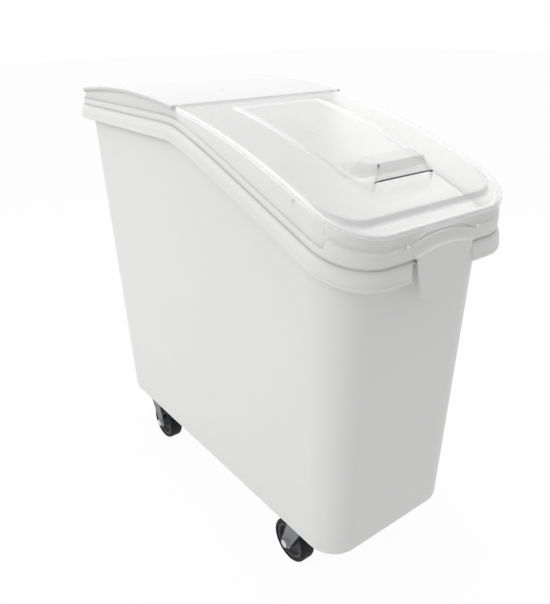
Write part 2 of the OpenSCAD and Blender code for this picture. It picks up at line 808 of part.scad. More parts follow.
at_caster(-1, 1) caster_plate();  // plate_rl
at_caster(-1, 1) caster_screws();  // screws_rl
at_caster(-1, 1) caster_king_pin();  // king_pin_rl
at_caster(-1, 1) caster_fork();  // fork_rl
at_caster(-1, 1) caster_balls();  // balls_rl
at_caster(-1, 1) caster_axle_bolt();  // axle_bolt_rl
at_caster(-1, 1) caster_axle_nut();  // axle_nut_rl
at_caster(-1, 1) caster_sleeve();  // sleeve_rl
at_caster(-1, 1) caster_wheel_core();  // wheel_core_rl
at_caster(-1, 1) caster_tyre();  // tyre_rl

at_caster(1, 1) caster_plate();  // plate_rr
at_caster(1, 1) caster_screws();  // screws_rr
at_caster(1, 1) caster_king_pin();  // king_pin_rr
at_caster(1, 1) caster_fork();  // fork_rr
at_caster(1, 1) caster_balls();  // balls_rr
at_caster(1, 1) caster_axle_bolt();  // axle_bolt_rr
at_caster(1, 1) caster_axle_nut();  // axle_nut_rr
at_caster(1, 1) caster_sleeve();  // sleeve_rr
at_caster(1, 1) caster_wheel_core();  // wheel_core_rr
at_caster(1, 1) caster_tyre();  // tyre_rr
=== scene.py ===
# %% [markdown]
# # A slant-top rice bin on four casters
#
# The bin is a tall, narrow plastic tub with a rolled rim that slopes down to the front. A white lid
# closes its rear half, a clear lid flips up over the front half, and four swivel casters carry it.
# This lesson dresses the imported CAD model: it keeps the caster parts as they are, and models the tub,
# the pull tab, both lids, the hood and the skirt again with softer edges.

# %% Load the frame
import math

import bpy
from mathutils import Matrix, Vector


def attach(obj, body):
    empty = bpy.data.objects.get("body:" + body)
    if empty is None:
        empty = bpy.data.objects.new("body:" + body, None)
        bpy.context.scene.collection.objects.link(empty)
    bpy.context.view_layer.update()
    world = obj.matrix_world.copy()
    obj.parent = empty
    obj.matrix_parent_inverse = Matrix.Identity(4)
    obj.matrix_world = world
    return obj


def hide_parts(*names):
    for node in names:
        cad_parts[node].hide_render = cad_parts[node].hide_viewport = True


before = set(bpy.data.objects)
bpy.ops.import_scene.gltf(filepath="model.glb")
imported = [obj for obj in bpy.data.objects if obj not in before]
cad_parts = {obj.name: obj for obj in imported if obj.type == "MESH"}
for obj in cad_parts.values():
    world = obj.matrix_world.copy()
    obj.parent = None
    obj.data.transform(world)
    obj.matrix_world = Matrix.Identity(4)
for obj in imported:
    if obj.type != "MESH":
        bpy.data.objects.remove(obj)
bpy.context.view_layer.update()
MM = 0.001

# %% [markdown]
# ## The camera
#
# The bin was photographed from its front left, a little from above. A camera is placed by its three
# angles and its position in metres, and its matrix is filled with the right, up and back directions.

# %% Camera
CAMERA_PLACE = (-0.5913, -0.81244, 0.81653)
SENSOR_WIDTH = 36.0
LENS = 37.21
turn = math.radians(-37.06)
tilt = math.radians(24.29)
roll = math.radians(-0.82)
back = Vector((math.sin(turn) * math.cos(tilt), -math.cos(turn) * math.cos(tilt), math.sin(tilt)))
right = Vector((math.cos(turn), math.sin(turn), 0.0))
up = right.cross(-back)
level_right = right * math.cos(roll) + up * math.sin(roll)
level_up = up * math.cos(roll) - right * math.sin(roll)
camera_data = bpy.data.cameras.new("view")
camera_data.sensor_width = SENSOR_WIDTH
camera_data.lens = LENS
camera_data.clip_start = 0.05
camera = bpy.data.objects.new("view", camera_data)
bpy.context.scene.collection.objects.link(camera)
turned = Matrix((level_right, level_up, back)).transposed().to_4x4()
camera.matrix_world = Matrix.Translation(CAMERA_PLACE) @ turned
bpy.context.scene.camera = camera
print("camera looks along", tuple(round(v, 3) for v in -back))

# %% [markdown]
# ## Shader maths as plain Python
#
# A procedural finish is a small sum: noise times an amount, plus a base value. Wrapping a socket in a
# class lets that sum be written as it is read, and each operator adds its own Math node. Every other
# node comes from one method that takes the node's type, its settings and its inputs.


# %% The wire class
class Wire:
    """One output socket that can be used in sums."""

    def __init__(self, shop, socket):
        self.shop = shop
        self.socket = socket

    def joined(self, operation, first, second):
        node = self.shop.node("ShaderNodeMath", {"operation": operation}, {0: first, 1: second})
        return node.out("Value")

    def __add__(self, other):
        return self.joined("ADD", self, other)

    def __radd__(self, other):
        return self.joined("ADD", other, self)

    def __sub__(self, other):
        return self.joined("SUBTRACT", self, other)

    def __rsub__(self, other):
        return self.joined("SUBTRACT", other, self)

    def __mul__(self, other):
        return self.joined("MULTIPLY", self, other)

    def __rmul__(self, other):
        return self.joined("MULTIPLY", other, self)

    def at_most(self, other):
        return self.joined("MINIMUM", self, other)

    def at_least(self, other):
        return self.joined("MAXIMUM", self, other)


class Node:
    """One shader node, with its outputs as wires."""

    def __init__(self, shop, node):
        self.shop = shop
        self.node = node

    def out(self, name):
        return Wire(self.shop, self.node.outputs[name])


class Finish:
    """A node material that is filled step by step."""

    def __init__(self, name):
        self.material = bpy.data.materials.new(name)
        self.material.use_nodes = True
        self.tree = self.material.node_tree
        self.tree.nodes.clear()
        self.place = self.node("ShaderNodeTexCoord").out("Object")

    def node(self, kind, settings=None, inputs=None):
        node = self.tree.nodes.new(kind)
        for key, value in (settings or {}).items():
            if key == "stops":
                for spot, (position, colour) in enumerate(value):
                    ramp = node.color_ramp.elements
                    stop = ramp[spot] if spot < len(ramp) else ramp.new(position)
                    stop.position = position
                    stop.color = colour
            else:
                setattr(node, key, value)
        for key, value in (inputs or {}).items():
            if isinstance(value, Wire):
                self.tree.links.new(value.socket, node.inputs[key])
            else:
                node.inputs[key].default_value = value
        return Node(self, node)

    def noise(self, scale, detail=3.0, stretch=(1.0, 1.0, 1.0), roughness=0.5):
        mapped = self.node("ShaderNodeMapping", {}, {"Vector": self.place, "Scale": stretch})
        inputs = {"Vector": mapped.out("Vector"), "Scale": scale, "Detail": detail, "Roughness": roughness}
        return self.node("ShaderNodeTexNoise", {}, inputs).out("Fac")

    def mixed(self, factor, low, high):
        inputs = {"Factor": factor, 6: low, 7: high}
        node = self.node("ShaderNodeMix", {"data_type": "RGBA"}, inputs)
        return Wire(self, node.node.outputs[2])

    def painted_shade_factor(self, distance):
        """1 on open faces, falling in corners and under edges, where it paints shade into the colour."""
        settings = {"samples": 6, "only_local": True}
        return self.node("ShaderNodeAmbientOcclusion", settings, {"Distance": distance}).out("AO")

    def bump(self, height, strength, distance):
        inputs = {"Height": height, "Strength": strength, "Distance": distance}
        return self.node("ShaderNodeBump", {}, inputs).out("Normal")

    def surface(self, **sockets):
        named = {key.replace("_", " "): value for key, value in sockets.items()}
        return self.node("ShaderNodeBsdfPrincipled", {}, named).out("BSDF")

    def clear(self, colour):
        return self.node("ShaderNodeBsdfTransparent", {}, {"Color": colour}).out("BSDF")

    def ray(self, name):
        return self.node("ShaderNodeLightPath").out(name)

    def blend(self, share, first, second):
        return self.node("ShaderNodeMixShader", {}, {0: share, 1: first, 2: second}).out("Shader")

    def done(self, shader):
        self.node("ShaderNodeOutputMaterial", {}, {"Surface": shader})
        print("finish:", self.material.name, "nodes:", len(self.tree.nodes))
        return self.material


# %% [markdown]
# ## White moulded plastic
#
# The tub is moulded polyethylene: satin, slightly waxy, with a fine orange-peel skin. Two coarse
# noises shift the brightness and the gloss by a few percent, a fine one feeds a Bump node for the
# skin, and an Ambient Occlusion node paints shade into the colour of creases and of the faces under
# an edge. The tub's inside also gives off a faint painted light of its own, which brightens it.


# %% White plastics
# Reach and grey of the shade painted into creases and under edges.
PAINTED_SHADE_REACH = 0.035
PAINTED_SHADE_GREY = (0.42, 0.42, 0.415, 1)
SKIN_DEPTH = 0.0003
# Strength of the faint light painted onto the tub's inside.
PAINTED_INSIDE_LIGHT = 0.105


def white_plastic(name, colour, shade, gloss, skin, painted_light=0.0, ior=1.5):
    finish = Finish(name)
    broad = finish.noise(3.0, 2.0)
    cloud = finish.noise(26.0, 3.0)
    grain = finish.noise(900.0, 2.0)
    tint = finish.mixed(broad * 0.7 + cloud * 0.3, colour, shade)
    # Painted shade: the colour turns grey in creases and under edges.
    tint = finish.mixed(finish.painted_shade_factor(PAINTED_SHADE_REACH), PAINTED_SHADE_GREY, tint)
    rough = gloss + broad * 0.08 + cloud * 0.05
    normal = finish.bump(grain, skin, SKIN_DEPTH)
    sockets = {"Emission_Color": (1, 1, 1, 1), "Emission_Strength": painted_light}
    shader = finish.surface(Base_Color=tint, Roughness=rough, Normal=normal, IOR=ior, **sockets)
    return finish.done(shader)


tub_tones = ((0.85, 0.847, 0.842, 1), (0.82, 0.817, 0.812, 1))
inside_tones = ((0.87, 0.87, 0.865, 1), (0.85, 0.85, 0.845, 1))
# The rear lid's whites are darker than the tub's: painted shade that keeps its lamp-lit top from turning
# pure white.
lid_painted_shade_tones = ((0.69, 0.69, 0.688, 1), (0.675, 0.675, 0.673, 1))
pin_tones = ((0.72, 0.72, 0.72, 1), (0.66, 0.66, 0.66, 1))
tub_white = white_plastic("tub_white", *tub_tones, 0.34, 0.12)
# The inside's finish emits painted light, so the inside looks brighter.
tub_inside = white_plastic("tub_inside", *inside_tones, 0.38, 0.12, painted_light=PAINTED_INSIDE_LIGHT)
lid_white = white_plastic("lid_white", *lid_painted_shade_tones, 0.30, 0.02, ior=1.38)
pin_white = white_plastic("pin_white", *pin_tones, 0.25, 0.08)

# %% [markdown]
# ## Clear plastic
#
# A thin clear sheet lets most light straight through and reflects more of it at a glancing angle.
# Mixing a Transparent shader with a glossy Principled one by a Fresnel factor gives that without the
# noise of real refraction. A floor under the factor keeps a faint milky body, as on moulded sheet.
# Shadow rays pass freely, so that light reaches the inside of the bin. Steep walls of the sheet get a
# fuller body, because light runs a long way inside them, and cut edges get a near-black finish that
# paints in the shade of the finger gap and the darkness of a clear sheet seen edge-on.


# %% Clear plastic
def clear_plastic():
    finish = Finish("clear_plastic")
    cloud = finish.noise(14.0, 2.0)
    grain = finish.noise(420.0, 2.0)
    normal = finish.bump(grain, 0.04, 0.0003)
    tint = finish.mixed(cloud, (0.96, 0.96, 0.96, 1), (0.99, 0.99, 0.99, 1))
    rough = 0.06 + cloud * 0.05
    body = finish.surface(Base_Color=tint, Roughness=rough, Normal=normal, IOR=1.5)
    through = finish.clear((0.988, 0.988, 0.987, 1))
    edge = finish.node("ShaderNodeFresnel", {}, {"IOR": 1.45, "Normal": normal}).out("Fac")
    lit = 1.0 - finish.ray("Is Shadow Ray")
    share = (edge * 0.5 + 0.14 + cloud * 0.05).at_most(0.32) * lit
    mix = finish.blend(share, through, body)
    return finish.done(mix)


# Near-black painted shade for the hood's lip edge and the step at the face's left end.
def painted_dark_edge_plastic():
    finish = Finish("painted_dark_edge")
    cloud = finish.noise(60.0, 2.0)
    tint = finish.mixed(cloud, (0.03, 0.032, 0.033, 1), (0.07, 0.072, 0.074, 1))
    return finish.done(finish.surface(Base_Color=tint, Roughness=0.2 + cloud * 0.1, IOR=1.5))


def clear_wall_plastic():
    finish = Finish("clear_wall")
    cloud = finish.noise(30.0, 2.0)
    tint = finish.mixed(cloud, (0.90, 0.90, 0.90, 1), (0.95, 0.95, 0.95, 1))
    body = finish.surface(Base_Color=tint, Roughness=0.12 + cloud * 0.05, IOR=1.45)
    through = finish.clear((0.94, 0.94, 0.945, 1))
    lit = 1.0 - finish.ray("Is Shadow Ray")
    share = (0.40 + cloud * 0.08) * lit
    mix = finish.blend(share, through, body)
    return finish.done(mix)


clear_sheet = clear_plastic()
clear_wall = clear_wall_plastic()
painted_dark_edge = painted_dark_edge_plastic()

# %% [markdown]
# ## Caster finishes
#
# The forks are pressed steel with a dull plating, the fasteners are bright zinc, the wheel cores grey
# moulded plastic and the tyres black rubber. Each one gets its own scale of noise: fine and
# streaky on steel, coarse and dusty on rubber.


# %% Steel, core and tyre
STEEL_DEPTH = 0.0003
RUBBER_DEPTH = 0.0006


def steel(name, bright, dark, gloss, streak):
    finish = Finish(name)
    lines = finish.noise(60.0, 4.0, streak)
    stain = finish.noise(35.0, 3.0)
    tint = finish.mixed(stain, bright, dark)
    rough = gloss + lines * 0.18 + stain * 0.1
    normal = finish.bump(lines, 0.15, STEEL_DEPTH)
    shader = finish.surface(Base_Color=tint, Roughness=rough, Metallic=1.0, Normal=normal)
    return finish.done(shader)


def rubber(name, clean, dusty, gloss, skin):
    finish = Finish(name)
    dust = finish.noise(45.0, 4.0)
    grain = finish.noise(700.0, 2.0)
    tint = finish.mixed(dust, clean, dusty)
    rough = gloss + dust * 0.2
    normal = finish.bump(grain * 0.7 + dust * 0.3, skin, RUBBER_DEPTH)
    shader = finish.surface(Base_Color=tint, Roughness=rough, Normal=normal, IOR=1.3)
    return finish.done(shader)


zinc = steel("zinc_steel", (0.74, 0.75, 0.77, 1), (0.62, 0.63, 0.65, 1), 0.22, (1, 1, 8))
plated = steel("fork_steel", (0.30, 0.31, 0.33, 1), (0.20, 0.21, 0.23, 1), 0.34, (6, 1, 1))
core_grey = rubber("core_plastic", (0.075, 0.075, 0.08, 1), (0.11, 0.11, 0.115, 1), 0.42, 0.1)
tyre_black = rubber("tyre_rubber", (0.006, 0.006, 0.0065, 1), (0.016, 0.016, 0.016, 1), 0.5, 0.25)

# %% [markdown]
# ## Sizes of the bin
#
# The rim, the tub and the lids are all rounded rectangles seen from above. An outline is kept as five
# numbers in millimetres: half width, front, rear, front corner radius and rear corner radius. The
# rim's height follows a line that is level at its foot in front, slopes up and turns nearly level at
# the knee. Both lids follow one large arc.

# %% Outlines and heights
FRONT_Y = -372.0
REAR_Y = 373.0
RIM_HALF = 162.0
RIM_FRONT_R = 73.0
RIM_REAR_R = 60.0
TUB_LOW = 92.0
TUB_TALL = 594.5
KNEE_Y = -14.0
FOOT_Y = -368.5
BEAD_FRONT = 529.5
BEAD_REAR = 662.5
SLOPE = (BEAD_REAR - BEAD_FRONT) / (KNEE_Y - FOOT_Y)
ARCH_REACH = 540.0
ARCH_DROP = BEAD_REAR + 55.5 - BEAD_FRONT - 64.2
ARCH_R = (ARCH_REACH ** 2 + ARCH_DROP ** 2) / (2 * ARCH_DROP)
ARCH_Y = 168.0
ARCH_Z = 718.0 - ARCH_R
HINGE_Y = -6.0
LIP_UP = 4.5
LIP_TOP = ARCH_R + LIP_UP
SHEET = 3.0
LID_HALF = 158.0


def rim_outline(inset):
    return (RIM_HALF - inset, FRONT_Y + inset, REAR_Y - inset, RIM_FRONT_R - inset, RIM_REAR_R - inset)


def tub_outline(z, inset=0.0):
    """The tub grows from its bottom upward, and its corners grow with it."""
    part = (z - TUB_LOW) / TUB_TALL
    half = 130.0 + 18.5 * part - inset
    front = -325.0 - 23.0 * part + inset
    rear = 333.0 + 24.5 * part - inset
    corner = 47.0 + 19.0 * part - inset
    return (half, front, rear, corner, corner)


def ramp(t, soft):
    return (t + math.sqrt(t * t + soft * soft)) / 2


def bead_z(y):
    """The rim's line: level, a soft foot, the slope, and a knee that is part sharp and part soft."""
    knee = 0.6 * ramp(y - KNEE_Y - 18.0, 7.0) + 0.4 * ramp(y - KNEE_Y + 28.0, 60.0)
    return BEAD_FRONT + SLOPE * (ramp(y - FOOT_Y, 29.0) - knee) - 0.9 * between(0.0, 120.0, y)


def arch(radius, y):
    return ARCH_Z + math.sqrt(radius * radius - (y - ARCH_Y) ** 2)


def between(low, high, t):
    """0 below low, 1 above high, and a soft ramp between them."""
    t = min(max((t - low) / (high - low), 0.0), 1.0)
    return t * t * (3 - 2 * t)


def ledge_drop(y):
    """How far the clear lid's ledge lies below its plate: nothing at the sides, most at the front."""
    return 0.5 + 7.9 * min(max((-293.0 - y) / 46.0, 0.0), 1.0) ** 0.85


print("rim slope", round(SLOPE, 4), "arch radius", round(ARCH_R, 1))

# %% [markdown]
# ## Small helpers for working by hand in code
#
# Operators act on what is selected, so each step starts from a clean selection. These helpers pick an
# object, pick its vertices by a test on their place, and tidy a finished mesh.


# %% Selection helpers
def pick(obj):
    if bpy.context.object and bpy.context.object.mode != "OBJECT":
        bpy.ops.object.mode_set(mode="OBJECT")
    bpy.ops.object.select_all(action="DESELECT")
    obj.select_set(True)
    bpy.context.view_layer.objects.active = obj


def fresh(name):
    obj = bpy.context.object
    obj.name = name
    obj.data.name = name
    return obj


def choose(obj, test, kind="VERT"):
    """Selects in edit mode the vertices, edges or faces whose middle passes the test."""
    bpy.ops.object.mode_set(mode="EDIT")
    bpy.ops.mesh.select_mode(type=kind)
    bpy.ops.mesh.select_all(action="DESELECT")
    bpy.ops.object.mode_set(mode="OBJECT")
    mesh = obj.data
    if kind == "VERT":
        for vertex in mesh.vertices:
            vertex.select = test(vertex.co)
    elif kind == "EDGE":
        for edge in mesh.edges:
            ends = [mesh.vertices[i].co for i in edge.vertices]
            edge.select = test(ends[0]) and test(ends[1])
    else:
        for face in mesh.polygons:
            face.select = test(face.center)
    bpy.ops.object.mode_set(mode="EDIT")


def whole(operator, **settings):
    bpy.ops.mesh.select_all(action="SELECT")
    return operator(**settings)


def tidy(obj, angle=40.0, outward=True):
    """Merges doubles, turns the faces outward and smooths all but the sharp edges."""
    pick(obj)
    bpy.ops.object.mode_set(mode="EDIT")
    whole(bpy.ops.mesh.remove_doubles, threshold=0.00002)
    if outward:
        whole(bpy.ops.mesh.normals_make_consistent, inside=False)
    bpy.ops.object.mode_set(mode="OBJECT")
    bpy.ops.object.transform_apply(location=True, rotation=True, scale=True)
    bpy.ops.object.shade_smooth_by_angle(angle=math.radians(angle))
    return obj


def apply_modifier(obj, kind, **settings):
    pick(obj)
    modifier = obj.modifiers.new(kind.lower(), kind)
    for key, value in settings.items():
        setattr(modifier, key, value)
    bpy.ops.object.modifier_apply(modifier=modifier.name)


def paint(obj, material, body, *nodes):
    """Gives a piece its finish and its body, and hides the CAD nodes that it stands for."""
    obj.data.materials.clear()
    obj.data.materials.append(material)
    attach(obj, body)
    if nodes:
        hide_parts(*nodes)
    print("piece:", obj.name, "faces:", len(obj.data.polygons))
    return obj


# %% [markdown]
# ## Stacked rings
#
# The tub and both lids are walls that run once round a rounded outline, so one helper makes them all.
# A plane gets rounded corners and divided sides, its face is deleted and the loop that is left is
# extruded upward once per level. Then each level is set to its own outline and height, as if every
# loop were scaled and moved by hand.


# %% Rings from a rounded plane
def spot_on(x, y):
    """Says where on any outline a point of the starting loop goes."""

    def on(outline):
        half, front, rear, front_r, rear_r = outline
        corner = front_r if y < 0 else rear_r
        side = math.copysign(1.0, x)
        if abs(y) <= 1.5001:
            part = (y + 1.5) / 3.0
            return side * half, (front + front_r) * (1 - part) + (rear - rear_r) * part
        if abs(x) <= 0.5001:
            return x / 0.5 * (half - corner), (front if y < 0 else rear)
        across = (abs(x) - 0.5) / 0.5
        along = (abs(y) - 1.5) / 0.5
        size = math.hypot(across, along)
        middle = front + front_r if y < 0 else rear - rear_r
        way = -1.0 if y < 0 else 1.0
        return side * (half - corner + corner * across / size), middle + way * corner * along / size

    return on


def stacked_rings(name, levels, corner_steps, side_cuts, end_cuts):
    bpy.ops.object.select_all(action="DESELECT")
    bpy.ops.mesh.primitive_plane_add(size=2)
    obj = fresh(name)
    bpy.ops.object.mode_set(mode="EDIT")
    bpy.ops.transform.resize(value=(1, 2, 1), center_override=(0, 0, 0))
    bpy.ops.mesh.bevel(offset=0.5, offset_type="OFFSET", segments=corner_steps, affect="VERTICES")
    whole(bpy.ops.mesh.delete, type="ONLY_FACE")
    choose(obj, lambda co: abs(co.y) < 1.501, "EDGE")
    bpy.ops.mesh.subdivide(number_cuts=side_cuts)
    choose(obj, lambda co: abs(co.x) < 0.501, "EDGE")
    bpy.ops.mesh.subdivide(number_cuts=end_cuts)
    bpy.ops.mesh.select_mode(type="EDGE")
    bpy.ops.mesh.select_all(action="SELECT")
    for _ in levels[1:]:
        bpy.ops.mesh.extrude_region_move(TRANSFORM_OT_translate={"value": (0, 0, 1)})
    bpy.ops.object.mode_set(mode="OBJECT")
    rows = []
    for vertex in obj.data.vertices:
        level = round(vertex.co.z)
        rows.append(level)
        place = levels[level](spot_on(vertex.co.x, vertex.co.y))
        vertex.co = Vector(place) * MM
    return obj, rows


def select_rows(obj, rows, wanted):
    pick(obj)
    bpy.ops.object.mode_set(mode="EDIT")
    bpy.ops.mesh.select_mode(type="VERT")
    bpy.ops.mesh.select_all(action="DESELECT")
    bpy.ops.object.mode_set(mode="OBJECT")
    for index, level in enumerate(rows):
        obj.data.vertices[index].select = level == wanted
    bpy.ops.object.mode_set(mode="EDIT")


def close_flat(obj, rows, wanted):
    select_rows(obj, rows, wanted)
    bpy.ops.mesh.edge_face_add()
    bpy.ops.object.mode_set(mode="OBJECT")


def close_across(obj, rows, wanted, cuts):
    """Closes a ring with straight strips across the bin, which an arched lid needs."""
    pick(obj)
    bpy.ops.object.mode_set(mode="EDIT")
    bpy.ops.mesh.select_mode(type="EDGE")
    bpy.ops.mesh.select_all(action="DESELECT")
    bpy.ops.object.mode_set(mode="OBJECT")
    mesh = obj.data
    ring = [v.co for v, level in zip(mesh.vertices, rows) if level == wanted]
    front = min(co.y for co in ring)
    rear = max(co.y for co in ring)
    for edge in mesh.edges:
        first, second = (mesh.vertices[i].co for i in edge.vertices)
        if rows[edge.vertices[0]] != wanted or rows[edge.vertices[1]] != wanted:
            continue
        on_front = first.y < front + 1e-6 and second.y < front + 1e-6
        on_rear = first.y > rear - 1e-6 and second.y > rear - 1e-6
        edge.select = not (on_front or on_rear)
    bpy.ops.object.mode_set(mode="EDIT")
    bpy.ops.mesh.bridge_edge_loops(number_cuts=cuts, interpolation="LINEAR")
    whole(bpy.ops.mesh.remove_doubles, threshold=0.00002)
    bpy.ops.object.mode_set(mode="OBJECT")


def ring(inset, height):
    """A level that follows the rim's outline at an inset, both given as numbers or rules."""

    def put(on):
        x, y = on(rim_outline(0.0))
        d = inset(x, y) if callable(inset) else inset
        x, y = on(rim_outline(d))
        return x, y, height(x, y)

    return put


# %% [markdown]
# ## The tub
#
# On the real bin the tub, its rolled bead, the rib above it and the collar that carries the lids are
# one moulding, so one stack of rings goes up the outside, round the bead and the rib, over the collar
# and down the inside. In the front zone the rib ends and the collar stands proud instead. Behind the
# pull tab the bead folds back into its flange, which leaves a pocket for the fingers. Faces that look
# inward get the inside's finish.

# %% Tub levels
PROUD_Y = -322.0
PROUD_TOP = ARCH_R - 18.0
POCKET_X = 54.0
POCKET_IN = 5.0
POCKET_UP = 20.0
WALL_IN = 4.0


def in_pocket(x, y):
    return abs(x) < POCKET_X and y < FRONT_Y + 20


def bead(inset, up):
    def depth(x, y):
        return max(inset, POCKET_IN) if in_pocket(x, y) else inset

    def height(x, y):
        rise = max(up, POCKET_UP) if in_pocket(x, y) else up
        return bead_z(y) + rise

    return ring(depth, height)


def wall(part, inset, low):
    def put(on):
        x, y = on(tub_outline(400.0, inset))
        for _ in range(3):
            z = low + part * (bead_z(y) + 20.0 - low)
            x, y = on(tub_outline(z, inset))
        return x, y, z

    return put


def floor_edge(angle, inset):
    """Rounding of the tub's bottom edge."""
    bend = 9.0 - inset * 0.75
    a = math.radians(angle)
    z = TUB_LOW + inset + bend * (1 - math.cos(a))
    d = inset + bend * (1 - math.sin(a))

    def put(on):
        x, y = on(tub_outline(z, d))
        return x, y, z

    return put


def split(side_in, front_in, side_height, front_height):
    """A level with one rule on the sides and the rear, and another in the front zone."""

    def depth(x, y):
        return front_in if y < PROUD_Y else side_in

    def height(x, y):
        return front_height(y) if y < PROUD_Y else side_height(y)

    return ring(depth, height)


def rib(side_in, side_up, front_in, front_up):
    """The rib's lower levels, which follow the bead all round."""
    return split(side_in, front_in, lambda y: bead_z(y) + side_up, lambda y: bead_z(y) + front_up)


def proud(side_in, side_up, front_in, below):
    """The rib's upper levels, which are the proud collar's edge in the front zone."""
    return split(side_in, front_in, lambda y: bead_z(y) + side_up, lambda y: arch(PROUD_TOP, y) - below)


outside = [floor_edge(a, 0.0) for a in (0, 22, 45, 68, 90)]
outside += [wall(p, 0.0, 101.0) for p in (0.12, 0.25, 0.4, 0.55, 0.7, 0.85, 0.94, 0.985)]
under = [bead(13.0, 20.0), bead(6.0, 20.0), bead(4.4, 19.6), bead(4.0, 19.0), bead(4.0, 2.0), bead(3.4, 0.4)]
face = [bead(2.6, 0.0), bead(0.8, 0.1), bead(0.15, 0.8), bead(0.0, 1.8), bead(0.0, 3.6), bead(0.2, 4.6)]
face += [bead(0.9, 5.4), bead(0.9, 8.0), bead(0.9, 11.0), bead(1.1, 13.5), bead(1.7, 16.0), bead(2.7, 18.4)]
face += [bead(4.0, 20.4), bead(5.4, 21.9), bead(6.6, 22.6), rib(7.4, 22.8, 7.6, 22.8)]
ledge = [rib(7.3, 23.6, 7.5, 23.6), rib(6.4, 25.2, 6.0, 25.6), rib(6.0, 27.0, 5.2, 27.5)]
ledge += [proud(5.9, 30.6, 5.0, 6.0), proud(6.2, 32.6, 5.0, 1.2), proud(7.0, 33.7, 5.4, 0.4)]
ledge += [proud(8.0, 34.0, 6.4, 0.0), proud(9.4, 34.0, 9.4, 0.0)]


def collar(inset, below):
    return ring(inset, lambda x, y: arch(LIP_TOP - 3.3 - below, y) - 0.4 * (ledge_drop(y) - 0.5))


def collar_foot(inset, up, front_up):
    return split(inset, inset, lambda y: bead_z(y) + up, lambda y: arch(PROUD_TOP, y) + front_up)


neck = [collar_foot(10.0, 34.6, 0.6), collar(10.0, 2.0), collar(10.4, 0.4), collar(11.4, 0.0)]
neck += [collar(12.8, 0.0), collar(13.8, 0.5), collar(14.0, 2.0)]


def inner_neck(on):
    x, y = on(rim_outline(14.0))
    return x, y, bead_z(y) + 25.0


neck += [inner_neck]
inside = [wall(p, WALL_IN, 105.0) for p in (1.02, 0.9, 0.6, 0.3, 0.1)]
inside += [floor_edge(a, WALL_IN) for a in (90, 60, 30, 0)]
tub_levels = outside + under + face + ledge + neck + inside
tub, tub_rows = stacked_rings("tub_shell", tub_levels, 20, 70, 44)
close_flat(tub, tub_rows, 0)
close_flat(tub, tub_rows, len(tub_levels) - 1)
tidy(tub, 50.0)
paint(tub, tub_white, "tub_body", "tub")
# The inside's finish carries a faint painted light.
tub.data.materials.append(tub_inside)
SPINE = 0.25
BOTTOM_TOP = 0.115
for face in tub.data.polygons:
    middle = Vector((0.0, min(max(face.center.y, -SPINE), SPINE), face.center.z))
    inward = (face.center - middle).dot(face.normal) < 0 and abs(face.normal.z) < 0.5
    bottom = face.normal.z > 0.5 and face.center.z < BOTTOM_TOP
    if inward or bottom:
        face.material_index = 1

# %% [markdown]
# ## The pull tab
#
# The tab grows out of the collar through a hollow fillet and hangs down as a shield-shaped grip. A
# grid is bent over that path: its columns run across the tab and its rows run from the lower edge up
# the face, over a tight bend and up the fillet. Solidify gives it its wall.

# %% Pull tab
TAB_FACE_Y = FRONT_Y - 1.0
TAB_TOP = 564.0
TAB_LOW = 506.0
TAB_SHEET = 3.8


def soften(obj, width):
    """Round a piece's sharp edges."""
    limit = math.radians(50)
    apply_modifier(obj, "BEVEL", width=width * MM, segments=3, limit_method="ANGLE", angle_limit=limit)


def tab_row(t):
    """Depth behind the face and height above its top edge, for t past the face."""
    if t < 0.25:
        a = t / 0.25 * math.radians(60)
        return 2.0 * (1 - math.cos(a)), 2.0 * math.sin(a) - 1.7
    s = (t - 0.25) / 0.75
    return 1.0 + 5.6 * math.sin(s * math.pi / 2) ** 0.9, 12.5 * (1 - math.cos(s * math.pi / 2)) + 1.2 * s


def tab_point(u, t):
    crown = TAB_TOP + 8.0 * (1 - u * u)
    if t < 0.6:
        depth = 0.0
        z = TAB_LOW + (crown - 1.7 - TAB_LOW) * t / 0.6
    else:
        depth, rise = tab_row((t - 0.6) / 0.4)
        z = crown + rise
    reach = (min(z, TAB_TOP) - TAB_LOW) / (TAB_TOP - TAB_LOW)
    half = 37.0 + 13.0 * reach + 0.9 * depth
    low = z - TAB_LOW
    if low < 13.0:
        half -= 13.0 - math.sqrt(13.0 ** 2 - (13.0 - low) ** 2)
    return Vector((u * half, TAB_FACE_Y + depth, z)) * MM


bpy.ops.object.select_all(action="DESELECT")
bpy.ops.mesh.primitive_grid_add(x_subdivisions=28, y_subdivisions=48, size=2)
tab = fresh("pull_tab")
for vertex in tab.data.vertices:
    vertex.co = tab_point(vertex.co.x, (vertex.co.y + 1) / 2)
tidy(tab, 60.0)
apply_modifier(tab, "SOLIDIFY", thickness=TAB_SHEET * MM, offset=-1.0, use_even_offset=True)
soften(tab, 1.2)
tidy(tab, 60.0)
paint(tab, tub_white, "tub_body", "tub")

# %% [markdown]
# ## The rear lid
#
# The white lid is a shallow cap: a lip all round, a soft upper edge and an arched top. The rings go up
# the lip and over the edge, the last one is closed with strips straight across, and Solidify gives
# the sheet its wall.


# %% Rear lid
def rear_outline(inset):
    front = HINGE_Y + 0.8 + inset * 0.35
    return (LID_HALF - inset, front, REAR_Y - 8.0 - inset, 2.0, 62.0 - inset)


def lid_ring(outline, inset, height):
    def put(on):
        x, y = on(outline(inset))
        return x, y, height(x, y)

    return put


def on_arch(up):
    return lambda x, y: arch(ARCH_R + up, y)


